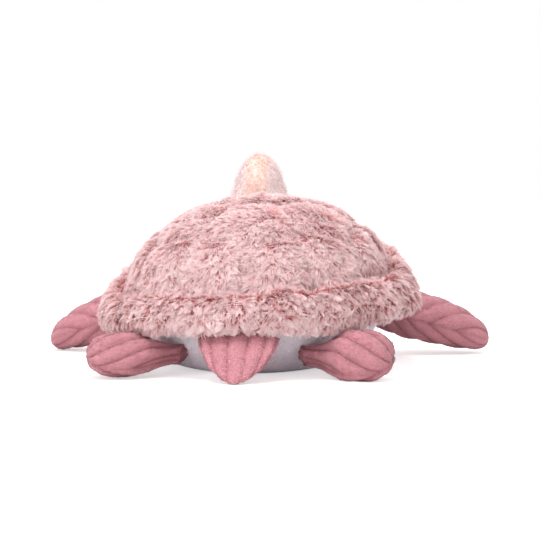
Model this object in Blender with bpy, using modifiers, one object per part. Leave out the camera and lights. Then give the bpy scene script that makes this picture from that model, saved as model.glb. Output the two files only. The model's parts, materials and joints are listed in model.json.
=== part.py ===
"""A plush sea turtle lying on its belly, built the way it is sewn.

Metres, +Z up. The head points to -Y and the turtle's left is +X. The origin is the middle of the
flat patch that the belly rests on.
"""

import math

import bmesh
import bpy
from mathutils import Matrix, Vector

MM = 0.001

# Gaps that sewn neighbours keep, and the one overrun that the cutters share
SEAM_GAP = 0.3 * MM
FILLING_GAP = 0.7 * MM
OVERRUN = 20 * MM
MERGE_DISTANCE = 0.01 * MM
SHARP_ANGLE = math.radians(50)

# Cloth
SHELL_CLOTH = 5 * MM
BELLY_CLOTH = 3 * MM
RIB_CLOTH = 2.6 * MM
HEAD_CLOTH = 2.4 * MM
BRIM_CLOTH = 4 * MM

# Body: the oval seam where dome, brim and belly meet
BODY_HALF_WIDTH = 132 * MM
BODY_HALF_LENGTH = 150 * MM
SEAM_HEIGHT = 72 * MM
SEAM_RISE_TO_RIGHT = 9 * MM
FRONT_ARCH_RISE = 30 * MM
FRONT_ARCH_FLAT = math.radians(50)
FRONT_ARCH_SPREAD = math.radians(108)
BODY_SEGMENTS = 36
FILLING_SEGMENTS = 18

# Dome of the shell, quilted into scutes that puff out between the grooves
DOME_TOP_HEIGHT = 169 * MM
DOME_LEAN_TO_RIGHT = 8 * MM
DOME_RINGS = 12
SCUTE_GROOVE = 3.4 * MM
SCUTE_PUFF = 2 * MM
CROWN_SCUTE_RING = 3
MIDDLE_SCUTE_RING = 7
MIDDLE_SCUTES = 6
EDGE_SCUTES = 12

# Belly, flattened where it rests
BELLY_REST_HALF_WIDTH = 58 * MM
BELLY_REST_HALF_LENGTH = 92 * MM
BELLY_RINGS = 9

# Brim round the shell: a padded roll, open where it is sewn, whose top leans inwards
BRIM_HALF_THICKNESS = 11.5 * MM
BRIM_HALF_HEIGHT = 17.5 * MM
BRIM_LEAN = 6 * MM
BRIM_MOUTH = math.radians(24)
BRIM_SECTION_POINTS = 8

# Ribs of the limb cloth, and how much closer its stations stand at a limb's two ends
LIMB_EASING_SHARE = 0.55
RIB_DEPTH = 1.4 * MM
RIB_PITCH = 15 * MM
RIB_SEAM_FADE_SHARE = 0.35

# Front flippers: bend is how far the tip hangs below a straight limb, taper how full the tip is.
# The right one lies further forward than the left and hangs less
FRONT_ROOT_ANGLE = math.radians(-50)
FRONT_ROOT_HEIGHT = 53 * MM
FRONT_ROOT_RADIUS = 13 * MM
FRONT_LENGTH = 146 * MM
FRONT_WIDTH = 78 * MM
FRONT_THICKNESS = 51 * MM
FRONT_SWEEP = 15 * MM
FRONT_BEND = 30 * MM
FRONT_TAPER = 2.6
FRONT_WIDEST_SHARE = 0.45
FRONT_THICKEST_SHARE = 0.42
FRONT_HEADING = math.radians(-8)
FRONT_RIGHT_BEND = 25 * MM
FRONT_RIGHT_HEADING = math.radians(-14)
FRONT_DROOP = math.radians(2)
FRONT_TILT = math.radians(7)
FRONT_RIB_SLANT = math.radians(32)

# Rear flippers
REAR_ROOT_ANGLE = math.radians(60)
REAR_ROOT_HEIGHT = 26 * MM
REAR_ROOT_RADIUS = 9.5 * MM
REAR_LENGTH = 86 * MM
REAR_WIDTH = 64 * MM
REAR_THICKNESS = 36 * MM
REAR_SWEEP = 4 * MM
REAR_BEND = 3 * MM
REAR_TAPER = 2.7
REAR_WIDEST_SHARE = 0.6
REAR_THICKEST_SHARE = 0.52
REAR_HEADING = math.radians(16)
REAR_DROOP = math.radians(-2)
REAR_TILT = math.radians(21)
REAR_RIB_SLANT = math.radians(16)

# Tail
TAIL_ROOT_HEIGHT = 46 * MM
TAIL_ROOT_RADIUS = 8 * MM
TAIL_ROOT_TUCK = 0.6 * MM
TAIL_LENGTH = 63 * MM
TAIL_WIDTH = 72 * MM
TAIL_THICKNESS = 19 * MM
TAIL_TAPER = 1.7
TAIL_WIDEST_SHARE = 0.24
TAIL_THICKEST_SHARE = 0.5
TAIL_DROOP = math.radians(42)

# Neck, which comes out under the brim and rises in front of it
NECK_ROOT_HEIGHT = 46 * MM
NECK_ROOT_RADIUS = 25 * MM
NECK_TOP_RADIUS = 25 * MM
NECK_REACH = 46 * MM
NECK_RINGS = 7
NECK_SEGMENTS = 14

# Head, an egg narrower at the crown than at the cheeks, with a gusset over it from nape to chin
HEAD_HALF_WIDTH = 33 * MM
HEAD_HALF_LENGTH = 46 * MM
HEAD_HALF_HEIGHT = 46 * MM
HEAD_TOP_HEIGHT = 208 * MM
HEAD_FORWARD_OF_NECK_ROOT = 72 * MM
HEAD_SHIFT_TO_LEFT = 22 * MM
HEAD_GUSSET_WIDTH = 34 * MM
HEAD_SEGMENTS = 22
HEAD_TURN_RANGE = math.radians(20)
SNOUT_NARROWING_SHARE = 0.2
CROWN_NARROWING_SHARE = 0.2
CHEEK_BAND_SHARE = 0.35

# Safety eyes: a domed cap on a stem, held inside by a washer
EYE_DIAMETER = 11 * MM
EYE_DOME_HEIGHT = 4 * MM
EYE_STEM_DIAMETER = 4 * MM
EYE_STEM_LENGTH = 9 * MM
EYE_FORWARD = 27 * MM
EYE_ABOVE_MIDDLE = 4 * MM
EYE_WASHER_DIAMETER = 12 * MM
EYE_WASHER_THICKNESS = 1.6 * MM
EYE_ROUND_SIDES = 12


def clear_scene():
    for obj in list(bpy.data.objects):
        bpy.data.objects.remove(obj, do_unlink=True)


def new_collection(name):
    collection = bpy.data.collections.new(name)
    bpy.context.scene.collection.children.link(collection)
    return collection


def material(name, colour, roughness):
    finish = bpy.data.materials.new(name)
    finish.use_nodes = True
    shader = finish.node_tree.nodes["Principled BSDF"]
    shader.inputs["Base Color"].default_value = (*colour, 1)
    shader.inputs["Roughness"].default_value = roughness
    shader.inputs["Metallic"].default_value = 0
    return finish


def smooth_step(share):
    share = min(max(share, 0), 1)
    return share * share * (3 - 2 * share)


def add_sheet(mesh, rows, wrap):
    """Points in rows become quads. A row of one point is a pole, closed by a fan of triangles."""
    sheet = [[mesh.verts.new(point) for point in row] for row in rows]
    for near, far in zip(sheet, sheet[1:]):
        count = max(len(near), len(far))
        for i in range(count if wrap else count - 1):
            j = (i + 1) % count
            if len(near) == 1:
                mesh.faces.new((near[0], far[j], far[i]))
            elif len(far) == 1:
                mesh.faces.new((near[i], near[j], far[0]))
            else:
                mesh.faces.new((near[i], near[j], far[j], far[i]))
    return sheet


def add_strip(mesh, first, second, wrap):
    """A band of quads between two edges with as many points each."""
    count = len(first)
    for i in range(count if wrap else count - 1):
        j = (i + 1) % count
        mesh.faces.new((first[i], first[j], second[j], second[i]))


def finish_object(name, mesh, finish, parts, hinge=None):
    bmesh.ops.recalc_face_normals(mesh, faces=mesh.faces[:])
    data = bpy.data.meshes.new(name)
    mesh.to_mesh(data)
    mesh.free()
    data.shade_smooth()
    data.set_sharp_from_angle(angle=SHARP_ANGLE)
    data.materials.append(finish)
    obj = bpy.data.objects.new(name, data)
    parts.objects.link(obj)
    obj.parent = hinge
    return obj


def skin(name, outer, inner, wrap, finish, parts, hinge=None):
    """A cloth panel between an outer and an inner sheet, closed along every open edge."""
    mesh = bmesh.new()
    outer_sheet = add_sheet(mesh, outer, wrap)
    inner_sheet = add_sheet(mesh, inner, wrap)
    for end in (0, -1):
        if len(outer_sheet[end]) > 1:
            add_strip(mesh, outer_sheet[end], inner_sheet[end], wrap)
        if not wrap:
            outer_edge = [row[end] for row in outer_sheet]
            inner_edge = [row[end] for row in inner_sheet]
            add_strip(mesh, outer_edge, inner_edge, False)
    return finish_object(name, mesh, finish, parts, hinge)


def filling(name, rows, finish, parts, hinge=None):
    """A closed body of stuffing between two poles."""
    mesh = bmesh.new()
    add_sheet(mesh, rows, True)
    return finish_object(name, mesh, finish, parts, hinge)


def hinge_empty(name, place, turn):
    empty = bpy.data.objects.new(name, None)
    empty.empty_display_size = FRONT_ROOT_RADIUS
    empty.matrix_world = Matrix.Translation(place) @ turn
    bpy.context.scene.collection.objects.link(empty)
    return empty


def plan_angles(segments):
    return [math.tau * i / segments for i in range(segments)]


def seam_height(angle):
    """The seam climbs to the turtle's right and arches over the neck and the front flippers."""
    from_head = abs((angle + math.pi / 2 + math.pi) % math.tau - math.pi)
    share = (from_head - FRONT_ARCH_FLAT) / (FRONT_ARCH_SPREAD - FRONT_ARCH_FLAT)
    arch = FRONT_ARCH_RISE * (1 - smooth_step(share))
    return SEAM_HEIGHT - SEAM_RISE_TO_RIGHT * math.cos(angle) + arch


def scute_relief(ring, segment):
    """How deep the quilting pulls the cloth in at one point of the dome's grid, or how far it puffs out.

    The edge scutes stay flat, since the brim leans over them.
    """
    if ring in (CROWN_SCUTE_RING, MIDDLE_SCUTE_RING):
        return SCUTE_GROOVE
    if ring < CROWN_SCUTE_RING:
        return -SCUTE_PUFF
    in_middle = ring < MIDDLE_SCUTE_RING
    scutes = MIDDLE_SCUTES if in_middle else EDGE_SCUTES
    if segment % (BODY_SEGMENTS // scutes) == 0:
        return SCUTE_GROOVE
    return -SCUTE_PUFF if in_middle else 0


def dome_point(angle, climb, inset):
    """climb runs from 0 at the seam to a right angle at the crown."""
    base = seam_height(angle) + SEAM_GAP / 2
    across = (BODY_HALF_WIDTH - inset) * math.cos(climb) * math.cos(angle)
    along = (BODY_HALF_LENGTH - inset) * math.cos(climb) * math.sin(angle)
    up = base + (DOME_TOP_HEIGHT - inset - base) * math.sin(climb)
    return Vector((across - DOME_LEAN_TO_RIGHT * math.sin(climb) ** 3, along, up))


def dome_rows(inset, segments=BODY_SEGMENTS, rings=DOME_RINGS, quilted=False):
    rows = []
    for ring in range(rings, 0, -1):
        climb = math.pi / 2 * (1 - ring / rings)
        row = []
        for segment, angle in enumerate(plan_angles(segments)):
            relief = scute_relief(ring, segment) if quilted and ring < rings else 0
            row.append(dome_point(angle, climb, inset + relief))
        rows.append(row)
    crown = scute_relief(0, 0) if quilted else 0
    rows.append([dome_point(0, math.pi / 2, inset + crown)])
    return rows


def belly_point(angle, turn, inset):
    """turn runs from 0 at the edge of the flat rest to a right angle at the seam."""
    out = math.sin(turn)
    half_width = BELLY_REST_HALF_WIDTH * (1 - out) + (BODY_HALF_WIDTH - inset) * out
    half_length = BELLY_REST_HALF_LENGTH * (1 - out) + (BODY_HALF_LENGTH - inset) * out
    top = seam_height(angle) - SEAM_GAP / 2
    up = inset + (top - inset) * (1 - math.cos(turn))
    return Vector((half_width * math.cos(angle), half_length * math.sin(angle), up))


def belly_rows(inset, segments=BODY_SEGMENTS, rings=BELLY_RINGS):
    rows = [[Vector((0, 0, inset))]]
    for ring in range(rings + 1):
        turn = math.pi / 2 * ring / rings
        rows.append([belly_point(angle, turn, inset) for angle in plan_angles(segments)])
    return rows


def make_body(parts, furs):
    skin("shell_dome", dome_rows(0, quilted=True), dome_rows(SHELL_CLOTH), True, furs["shell"], parts)
    skin("belly_panel", belly_rows(0), belly_rows(BELLY_CLOTH), True, furs["belly"], parts)
    lower = belly_rows(BELLY_CLOTH + FILLING_GAP, FILLING_SEGMENTS)[:-1]
    upper = dome_rows(SHELL_CLOTH + FILLING_GAP, FILLING_SEGMENTS, DOME_RINGS // 2)
    filling("body_stuffing", lower + upper, furs["filling"], parts)


def brim_point(angle, section, inset):
    """section is the angle round the roll; its lowest inner point meets the seam."""
    reach = math.hypot(BRIM_HALF_THICKNESS, BRIM_LEAN)
    mouth_turn = math.atan2(BRIM_LEAN, BRIM_HALF_THICKNESS)
    middle_out = reach * math.cos(BRIM_MOUTH) + SEAM_GAP
    middle_up = -BRIM_HALF_HEIGHT * math.sin(mouth_turn)
    shrink = 1 - inset / BRIM_HALF_THICKNESS
    out = middle_out + shrink * (BRIM_HALF_THICKNESS * math.cos(section) - BRIM_LEAN * math.sin(section))
    up = middle_up + (BRIM_HALF_HEIGHT - inset) * math.sin(section)
    slope = Vector((math.cos(angle) / BODY_HALF_WIDTH, math.sin(angle) / BODY_HALF_LENGTH))
    outward = slope.normalized()
    return Vector((
        BODY_HALF_WIDTH * math.cos(angle) + outward.x * out,
        BODY_HALF_LENGTH * math.sin(angle) + outward.y * out,
        seam_height(angle) + up,
    ))


def brim_rows(inset, mouth, points):
    """Rows run round the roll from the mouth's upper edge to its lower edge."""
    mouth_turn = math.atan2(BRIM_LEAN, BRIM_HALF_THICKNESS)
    rows = []
    for i in range(points + 1):
        section = math.pi - mouth_turn - mouth - (math.tau - 2 * mouth) * i / points
        rows.append([brim_point(angle, section, inset) for angle in plan_angles(BODY_SEGMENTS)])
    return rows


def make_brim(parts, furs):
    outer = brim_rows(0, BRIM_MOUTH, BRIM_SECTION_POINTS)
    inner = brim_rows(BRIM_CLOTH, BRIM_MOUTH, BRIM_SECTION_POINTS)
    skin("shell_brim", outer, inner, True, furs["shell"], parts)
    roll = brim_rows(BRIM_CLOTH + FILLING_GAP, BRIM_MOUTH, BRIM_SECTION_POINTS)
    mesh = bmesh.new()
    sheet = add_sheet(mesh, roll, True)
    add_strip(mesh, sheet[-1], sheet[0], True)
    finish_object("brim_stuffing", mesh, furs["filling"], parts)


def seat_on_belly(angle, height, radius):
    """Where a round root seats on the belly panel. The angle is that of one of the panel's columns."""
    turn = math.acos(1 - height / (seam_height(angle) - SEAM_GAP / 2))
    step = math.pi / 2 / BELLY_RINGS
    ring = int(turn / step)
    low = belly_point(angle, ring * step, 0)
    high = belly_point(angle, (ring + 1) * step, 0)
    here = low.lerp(high, (height - low.z) / (high.z - low.z))
    round_it = belly_point(angle + step, turn, 0) - belly_point(angle - step, turn, 0)
    outward = round_it.cross(high - low).normalized()
    return here + outward * (radius + SEAM_GAP)


def limb_swell(along, root, half, length, widest, taper):
    """A round root, a swell to the widest place and a tip that is fuller the higher its taper."""
    if along <= 0:
        return root * math.sqrt(max(0, 1 - (along / root) ** 2))
    if along < widest:
        return root + (half - root) * smooth_step(along / widest)
    return half * max(0, 1 - ((along - widest) / (length - widest)) ** taper) ** (1 / taper)


def limb_point(limb, share, angle, inset, side):
    """share runs from the root's pole to the tip, and angle from the leading to the trailing edge."""
    root = limb["root"] - inset
    length = limb["length"] - inset
    eased = share + LIMB_EASING_SHARE * ((1 - math.cos(math.pi * share)) / 2 - share)
    along = -root + (root + length) * eased
    taper = limb["taper"]
    half_width = limb_swell(along, root, limb["width"] / 2 - inset, length, limb["wide_at"], taper)
    half_depth = limb_swell(along, root, limb["thickness"] / 2 - inset, length, limb["thick_at"], taper)
    lead = half_width * math.cos(angle)
    rise = half_depth * math.sin(angle)
    sweep = limb["sweep"] * max(0, along / length) ** 2
    if not inset and 0 < share < 1:
        across = along * math.sin(limb["slant"]) + lead * math.cos(limb["slant"])
        valley = (1 + math.cos(math.tau * across / RIB_PITCH)) / 2
        fade = min(1, math.sin(angle) / RIB_SEAM_FADE_SHARE) * smooth_step(half_depth / limb["root"])
        rise -= RIB_DEPTH * valley * fade
    drop = limb["bend"] * max(0, along / length) ** 2
    return Vector((along, limb["hand"] * (sweep - lead), side * (rise + SEAM_GAP / 2) - drop))


def limb_rows(limb, inset, side):
    stations = limb["stations"]
    columns = limb["columns"]
    rows = [[limb_point(limb, 0, 0, inset, side)]]
    for i in range(1, stations):
        angles = [math.pi * j / columns for j in range(columns + 1)]
        rows.append([limb_point(limb, i / stations, angle, inset, side) for angle in angles])
    rows.append([limb_point(limb, 1, 0, inset, side)])
    return rows


def make_limb(name, limb, place, turn, parts, furs):
    """A top and a bottom panel sewn edge to edge round their stuffing, all on one hinge."""
    hinge = hinge_empty(name + "_hinge", place, turn)
    for side, which in ((1, "_top"), (-1, "_bottom")):
        outer = limb_rows(limb, 0, side)
        inner = limb_rows(limb, RIB_CLOTH, side)
        skin(name + which, outer, inner, False, furs["limb"], parts, hinge)
    inset = RIB_CLOTH + FILLING_GAP
    plain = dict(limb, columns=limb["columns"] * 2 // 3)
    top = limb_rows(plain, inset, 1)
    bottom = limb_rows(plain, inset, -1)
    rows = [[]]
    for upper, lower in zip(top[1:-1], bottom[1:-1]):
        middle = [(a + b) / 2 for a, b in ((upper[0], lower[0]), (upper[-1], lower[-1]))]
        rows.append([middle[0]] + upper[1:-1] + [middle[1]] + lower[-2:0:-1])
    rows[0] = [(top[0][0] + bottom[0][0]) / 2]
    rows.append([(top[-1][0] + bottom[-1][0]) / 2])
    filling(name + "_stuffing", rows, furs["filling"], parts, hinge)


def limb_turn(heading, droop, tilt):
    turn = Matrix.Rotation(heading, 4, "Z") @ Matrix.Rotation(droop, 4, "Y")
    return turn @ Matrix.Rotation(tilt, 4, "X")


def make_flippers(parts, furs):
    front = dict(
        root=FRONT_ROOT_RADIUS, length=FRONT_LENGTH, width=FRONT_WIDTH, thickness=FRONT_THICKNESS,
        wide_at=FRONT_LENGTH * FRONT_WIDEST_SHARE, thick_at=FRONT_LENGTH * FRONT_THICKEST_SHARE,
        sweep=FRONT_SWEEP, bend=FRONT_BEND, taper=FRONT_TAPER, slant=FRONT_RIB_SLANT,
        stations=17, columns=8,
    )
    rear = dict(
        root=REAR_ROOT_RADIUS, length=REAR_LENGTH, width=REAR_WIDTH, thickness=REAR_THICKNESS,
        wide_at=REAR_LENGTH * REAR_WIDEST_SHARE, thick_at=REAR_LENGTH * REAR_THICKEST_SHARE,
        sweep=REAR_SWEEP, bend=REAR_BEND, taper=REAR_TAPER, slant=REAR_RIB_SLANT,
        stations=13, columns=9,
    )
    front_right = dict(front, bend=FRONT_RIGHT_BEND)
    front_seat = (FRONT_ROOT_ANGLE, FRONT_ROOT_HEIGHT, FRONT_DROOP, FRONT_TILT)
    rear_seat = (REAR_ROOT_ANGLE, REAR_ROOT_HEIGHT, REAR_DROOP, REAR_TILT)
    settings = (
        ("front_left_flipper", front, 1, FRONT_HEADING, front_seat),
        ("front_right_flipper", front_right, -1, FRONT_RIGHT_HEADING, front_seat),
        ("rear_left_flipper", rear, 1, REAR_HEADING, rear_seat),
        ("rear_right_flipper", rear, -1, REAR_HEADING, rear_seat),
    )
    for name, limb, hand, heading, (angle, height, droop, tilt) in settings:
        if hand < 0:
            angle, heading = math.pi - angle, math.pi - heading
        place = seat_on_belly(angle, height, limb["root"])
        turn = limb_turn(heading, droop, -hand * tilt)
        make_limb(name, dict(limb, hand=hand), place, turn, parts, furs)


def make_tail(parts, furs):
    tail = dict(
        root=TAIL_ROOT_RADIUS, length=TAIL_LENGTH, width=TAIL_WIDTH, thickness=TAIL_THICKNESS,
        wide_at=TAIL_LENGTH * TAIL_WIDEST_SHARE, thick_at=TAIL_LENGTH * TAIL_THICKEST_SHARE,
        sweep=0, bend=0, taper=TAIL_TAPER, slant=0, stations=11, columns=10, hand=1,
    )
    place = seat_on_belly(math.pi / 2, TAIL_ROOT_HEIGHT, TAIL_ROOT_RADIUS - TAIL_ROOT_TUCK)
    make_limb("tail", tail, place, limb_turn(math.pi / 2, TAIL_DROOP, 0), parts, furs)


def head_middle():
    root = seat_on_belly(-math.pi / 2, NECK_ROOT_HEIGHT, NECK_ROOT_RADIUS)
    up = HEAD_TOP_HEIGHT - HEAD_HALF_HEIGHT
    return Vector((root.x + HEAD_SHIFT_TO_LEFT, root.y - HEAD_FORWARD_OF_NECK_ROOT, up))


def head_ring(across, inset):
    """The outline of the head cut lengthwise at a distance across from its middle plane."""
    round_share = math.sqrt(max(0, 1 - (across / (HEAD_HALF_WIDTH - inset)) ** 2))
    ring = []
    for i in range(HEAD_SEGMENTS):
        angle = math.tau * i / HEAD_SEGMENTS
        along = -(HEAD_HALF_LENGTH - inset) * math.cos(angle) * round_share
        height = (HEAD_HALF_HEIGHT - inset) * math.sin(angle) * round_share
        snout = max(0, -along / HEAD_HALF_LENGTH) ** 2
        up_share = height / HEAD_HALF_HEIGHT
        crown = smooth_step((up_share + CHEEK_BAND_SHARE) / (2 * CHEEK_BAND_SHARE))
        narrowing = 1 - CROWN_NARROWING_SHARE * crown
        ring.append(Vector((across * narrowing, along, height * (1 - SNOUT_NARROWING_SHARE * snout))))
    return ring


def head_side_rows(hand, inset, steps=4):
    """Rings from the gusset's seam out to the cheek's pole."""
    start = HEAD_GUSSET_WIDTH / 2 + SEAM_GAP / 2
    end = HEAD_HALF_WIDTH - inset
    first = math.asin(start / end)
    rows = []
    for i in range(steps):
        turn = first + (math.pi / 2 - first) * i / steps
        rows.append([Vector((hand * p.x, p.y, p.z)) for p in head_ring(end * math.sin(turn), inset)])
    rows.append([Vector((hand * p.x, p.y, p.z)) for p in head_ring(end, inset)[:1]])
    return rows


def head_gusset_rows(inset):
    edge = HEAD_GUSSET_WIDTH / 2 - SEAM_GAP / 2
    return [head_ring(third * edge / 3, inset) for third in (-3, -1, 1, 3)]


def head_filling_rows(inset, steps=7):
    end = HEAD_HALF_WIDTH - inset
    rows = [head_ring(-end, inset)[:1]]
    for i in range(1, steps):
        rows.append(head_ring(-end * math.cos(math.pi * i / steps), inset))
    rows.append(head_ring(end, inset)[:1])
    return rows


def cutter_cylinder(name, radius, depth, cutters):
    mesh = bmesh.new()
    size = dict(radius1=radius, radius2=radius, depth=depth)
    bmesh.ops.create_cone(mesh, cap_ends=True, segments=EYE_ROUND_SIDES, **size)
    data = bpy.data.meshes.new(name)
    mesh.to_mesh(data)
    mesh.free()
    obj = bpy.data.objects.new(name, data)
    obj.hide_render = True
    obj.display_type = "WIRE"
    cutters.objects.link(obj)
    return obj


def cut(obj, cutter):
    modifier = obj.modifiers.new(cutter.name, "BOOLEAN")
    modifier.operation = "DIFFERENCE"
    modifier.solver = "EXACT"
    modifier.object = cutter


def turned(name, profile, finish, parts, hinge):
    """A closed profile of (radius, height) points turned about +Z by a Screw."""
    data = bpy.data.meshes.new(name)
    points = [(radius, 0, height) for radius, height in profile]
    count = len(points)
    on_axis = profile[0][0] == 0 and profile[-1][0] == 0
    edges = [(i, (i + 1) % count) for i in range(count - 1 if on_axis else count)]
    data.from_pydata(points, edges, [])
    data.materials.append(finish)
    obj = bpy.data.objects.new(name, data)
    parts.objects.link(obj)
    obj.parent = hinge
    screw = obj.modifiers.new("turn", "SCREW")
    screw.axis = "Z"
    screw.steps = EYE_ROUND_SIDES
    screw.render_steps = EYE_ROUND_SIDES
    screw.use_merge_vertices = True
    screw.merge_threshold = MERGE_DISTANCE
    screw.use_normal_calculate = True
    screw.use_normal_flip = not on_axis
    return obj


def eye_frame(hand):
    """Where an eye's cap sits on the cheek: +Z points out of the head."""
    forward_share = EYE_FORWARD / HEAD_HALF_LENGTH
    up_share = EYE_ABOVE_MIDDLE / HEAD_HALF_HEIGHT
    crown = smooth_step((up_share + CHEEK_BAND_SHARE) / (2 * CHEEK_BAND_SHARE))
    half_width = HEAD_HALF_WIDTH * (1 - CROWN_NARROWING_SHARE * crown)
    out = half_width * math.sqrt(1 - forward_share ** 2 - up_share ** 2)
    up = EYE_ABOVE_MIDDLE * (1 - SNOUT_NARROWING_SHARE * forward_share ** 2)
    normal = Vector((
        hand * out / half_width ** 2,
        -EYE_FORWARD / HEAD_HALF_LENGTH ** 2,
        (up + CROWN_NARROWING_SHARE * HEAD_HALF_HEIGHT) / HEAD_HALF_HEIGHT ** 2,
    )).normalized()
    place = Vector((hand * out, -EYE_FORWARD, up)) + normal * SEAM_GAP
    return Matrix.Translation(place) @ normal.to_track_quat("Z", "Y").to_matrix().to_4x4()


def make_eye(side, hand, hinge, panel, stuffing, parts, cutters, furs):
    frame = eye_frame(hand)
    cap = [(0, EYE_DOME_HEIGHT)]
    for i in range(1, 5):
        turn = math.pi / 2 * i / 4
        cap.append((EYE_DIAMETER / 2 * math.sin(turn), EYE_DOME_HEIGHT * math.cos(turn)))
    stem = EYE_STEM_DIAMETER / 2
    eye_profile = cap + [(stem, 0), (stem, -EYE_STEM_LENGTH), (0, -EYE_STEM_LENGTH)]
    eye = turned(side + "_eye", eye_profile, furs["eye"], parts, hinge)
    eye.matrix_local = frame
    bore = stem + SEAM_GAP
    rim = EYE_WASHER_DIAMETER / 2
    cheek_sag = rim ** 2 / (2 * (HEAD_HALF_WIDTH - HEAD_CLOTH))
    seat = -(HEAD_CLOTH + 3 * SEAM_GAP + cheek_sag)
    back = seat - EYE_WASHER_THICKNESS
    washer_profile = [(bore, seat), (rim, seat), (rim, back), (bore, back)]
    washer = turned(side + "_eye_washer", washer_profile, furs["washer"], parts, hinge)
    washer.matrix_local = frame
    hole = cutter_cylinder(side + "_eye_hole", bore, 2 * OVERRUN, cutters)
    hole.parent = hinge
    hole.matrix_local = frame
    cut(panel, hole)
    pocket_depth = EYE_STEM_LENGTH + SEAM_GAP
    pocket = cutter_cylinder(side + "_eye_pocket", rim + SEAM_GAP, 2 * pocket_depth, cutters)
    pocket.parent = hinge
    pocket.matrix_local = frame
    cut(stuffing, pocket)


def neck_path():
    """The neck's middle line in the nod hinge's frame: out under the brim, then up to the head."""
    top = head_middle() - seat_on_belly(-math.pi / 2, NECK_ROOT_HEIGHT, NECK_ROOT_RADIUS)
    corners = (
        Vector((0, 0, 0)),
        Vector((0, -NECK_REACH, 0)),
        Vector((0, -NECK_REACH, top.z / 2)),
        Vector((top.x, top.y, top.z)),
    )
    path = []
    for i in range(NECK_RINGS + 1):
        t = i / NECK_RINGS
        weights = ((1 - t) ** 3, 3 * t * (1 - t) ** 2, 3 * t * t * (1 - t), t ** 3)
        path.append(sum((w * c for w, c in zip(weights, corners)), Vector()))
    return path


def neck_rows(inset, open_top):
    """A ball at the hinge, then rings square to the path."""
    path = neck_path()
    root = NECK_ROOT_RADIUS - inset
    rows = [[Vector((0, root, 0))]]
    for turn in (math.pi / 6, math.pi / 3):
        back = Vector((0, root * math.cos(turn), 0))
        rows.append(neck_ring(back, Vector((0, -1, 0)), root * math.sin(turn)))
    for i, point in enumerate(path):
        ahead = path[min(i + 1, NECK_RINGS)] - path[max(i - 1, 0)]
        radius = root + (NECK_TOP_RADIUS - NECK_ROOT_RADIUS) * smooth_step(i / NECK_RINGS)
        rows.append(neck_ring(point, ahead if i else Vector((0, -1, 0)), radius))
    if not open_top:
        rows.append([path[-1]])
    return rows


def neck_ring(middle, ahead, radius):
    forward = ahead.normalized()
    side = Vector((1, 0, 0))
    side = (side - forward * side.dot(forward)).normalized()
    up = side.cross(forward)
    ring = []
    for i in range(NECK_SEGMENTS):
        angle = math.tau * i / NECK_SEGMENTS
        ring.append(middle + side * (radius * math.cos(angle)) + up * (radius * math.sin(angle)))
    return ring


def head_seat_cutter(turn, clearance, cutters):
    """The head grown by a clearance and turned on its hinge."""
    mesh = bmesh.new()
    add_sheet(mesh, head_filling_rows(-clearance, 2 * NECK_RINGS), True)
    bmesh.ops.recalc_face_normals(mesh, faces=mesh.faces[:])
    data = bpy.data.meshes.new("head_seat_cutter")
    mesh.to_mesh(data)
    mesh.free()
    seat = bpy.data.objects.new("head_seat_cutter", data)
    seat.hide_render = True
    seat.display_type = "WIRE"
    seat.matrix_world = Matrix.Translation(head_middle()) @ Matrix.Rotation(turn, 4, "Z")
    cutters.objects.link(seat)
    return seat


def make_head(parts, cutters, furs):
    root = seat_on_belly(-math.pi / 2, NECK_ROOT_HEIGHT, NECK_ROOT_RADIUS)
    nod = hinge_empty("neck_nod_hinge", root, Matrix())
    fur = furs["head"]
    neck = skin("neck_cover", neck_rows(0, True), neck_rows(HEAD_CLOTH, True), True, fur, parts, nod)
    core = neck_rows(HEAD_CLOTH + FILLING_GAP, False)
    stuffing = filling("neck_stuffing", core, furs["filling"], parts, nod)

    # The neck stops short of the head wherever the head may turn to. The middle cutter is a gap larger
    # than the turned ones, since equal ones would touch along the hinge's axis.
    for share, gaps in ((0, 4), (-1, 3), (1, 3)):
        seat = head_seat_cutter(share * HEAD_TURN_RANGE, gaps * SEAM_GAP, cutters)
        cut(neck, seat)
        cut(stuffing, seat)

    turn = hinge_empty("head_turn_hinge", head_middle(), Matrix())
    turn.parent = nod
    turn.matrix_parent_inverse = nod.matrix_world.inverted()
    left_sheets = [head_side_rows(1, inset) for inset in (0, HEAD_CLOTH)]
    right_sheets = [head_side_rows(-1, inset) for inset in (0, HEAD_CLOTH)]
    gusset_sheets = [head_gusset_rows(inset) for inset in (0, HEAD_CLOTH)]
    left = skin("head_left", *left_sheets, True, fur, parts, turn)
    right = skin("head_right", *right_sheets, True, fur, parts, turn)
    skin("head_gusset", *gusset_sheets, True, furs["gusset"], parts, turn)
    core = head_filling_rows(HEAD_CLOTH + FILLING_GAP)
    inside = filling("head_stuffing", core, furs["filling"], parts, turn)
    make_eye("left", 1, turn, left, inside, parts, cutters, furs)
    make_eye("right", -1, turn, right, inside, parts, cutters, furs)


def main():
    clear_scene()
    parts = new_collection("plush_turtle")
    cutters = new_collection("cutters")
    furs = dict(
        shell=material("long_pile_plush", (0.74, 0.45, 0.45), 0.95),
        belly=material("short_pile_plush", (0.7, 0.66, 0.7), 0.95),
        limb=material("ribbed_velour", (0.66, 0.24, 0.28), 0.9),
        head=material("fuzzy_plush", (0.85, 0.7, 0.7), 0.95),
        gusset=material("peach_plush", (0.93, 0.66, 0.52), 0.95),
        filling=material("polyester_filling", (0.9, 0.9, 0.88), 1.0),
        eye=material("black_acrylic", (0.01, 0.01, 0.012), 0.08),
        washer=material("white_nylon", (0.8, 0.8, 0.78), 0.45),
    )
    make_body(parts, furs)
    make_brim(parts, furs)
    make_flippers(parts, furs)
    make_tail(parts, furs)
    make_head(parts, cutters, furs)


main()
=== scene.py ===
import json
import math

import bpy
import numpy as np
from mathutils import Matrix, Vector


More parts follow.
